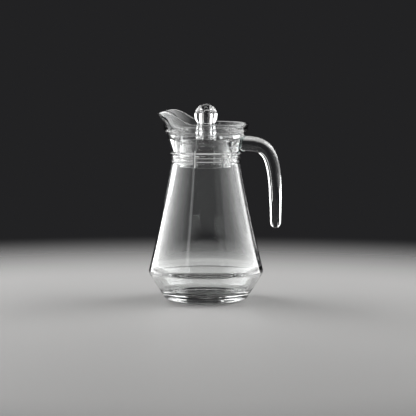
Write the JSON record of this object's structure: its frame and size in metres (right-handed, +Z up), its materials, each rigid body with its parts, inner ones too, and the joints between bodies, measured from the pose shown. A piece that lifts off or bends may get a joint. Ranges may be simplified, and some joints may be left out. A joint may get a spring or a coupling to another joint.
{
  "type": "glass jug",
  "caption": "Clear glass water jug with a flared foot, ringed neck, wide pouring lip, glass hook handle and a clear drop-in lid with a ball knob.",
  "frame": {"origin": "middle of the foot ring, on the surface the jug stands on", "axes": "+Z up along the jug's middle line, +X towards the handle, -X towards the pouring lip"},
  "size_m": [0.149, 0.1286, 0.2204],
  "materials": {
    "body_glass": "clear, fire-polished, smooth",
    "handle_glass": "clear, fire-polished, smooth",
    "lid_plastic": "clear moulded, glossy",
    "knob_plastic": "clear moulded, glossy",
    "plug_plastic": "clear moulded, glossy"
  },
  "bodies": {
    "jug": {"jug_body": "body_glass", "handle": "handle_glass"},
    "lid_cap": {"lid_plate": "lid_plastic", "lid_knob": "knob_plastic"},
    "lid_skirt": {"lid_plug": "plug_plastic"}
  },
  "joints": [
    {"name": "lid_lift", "type": "slide", "parent": "jug", "child": "lid_cap", "axis": [0, 0, 1], "range_m": [0, 0.075]},
    {"name": "lid_turn", "type": "hinge", "parent": "lid_cap", "child": "lid_skirt", "pos_m": [0, 0, 0.183], "axis": [0, 0, 1], "continuous": true}
  ]
}
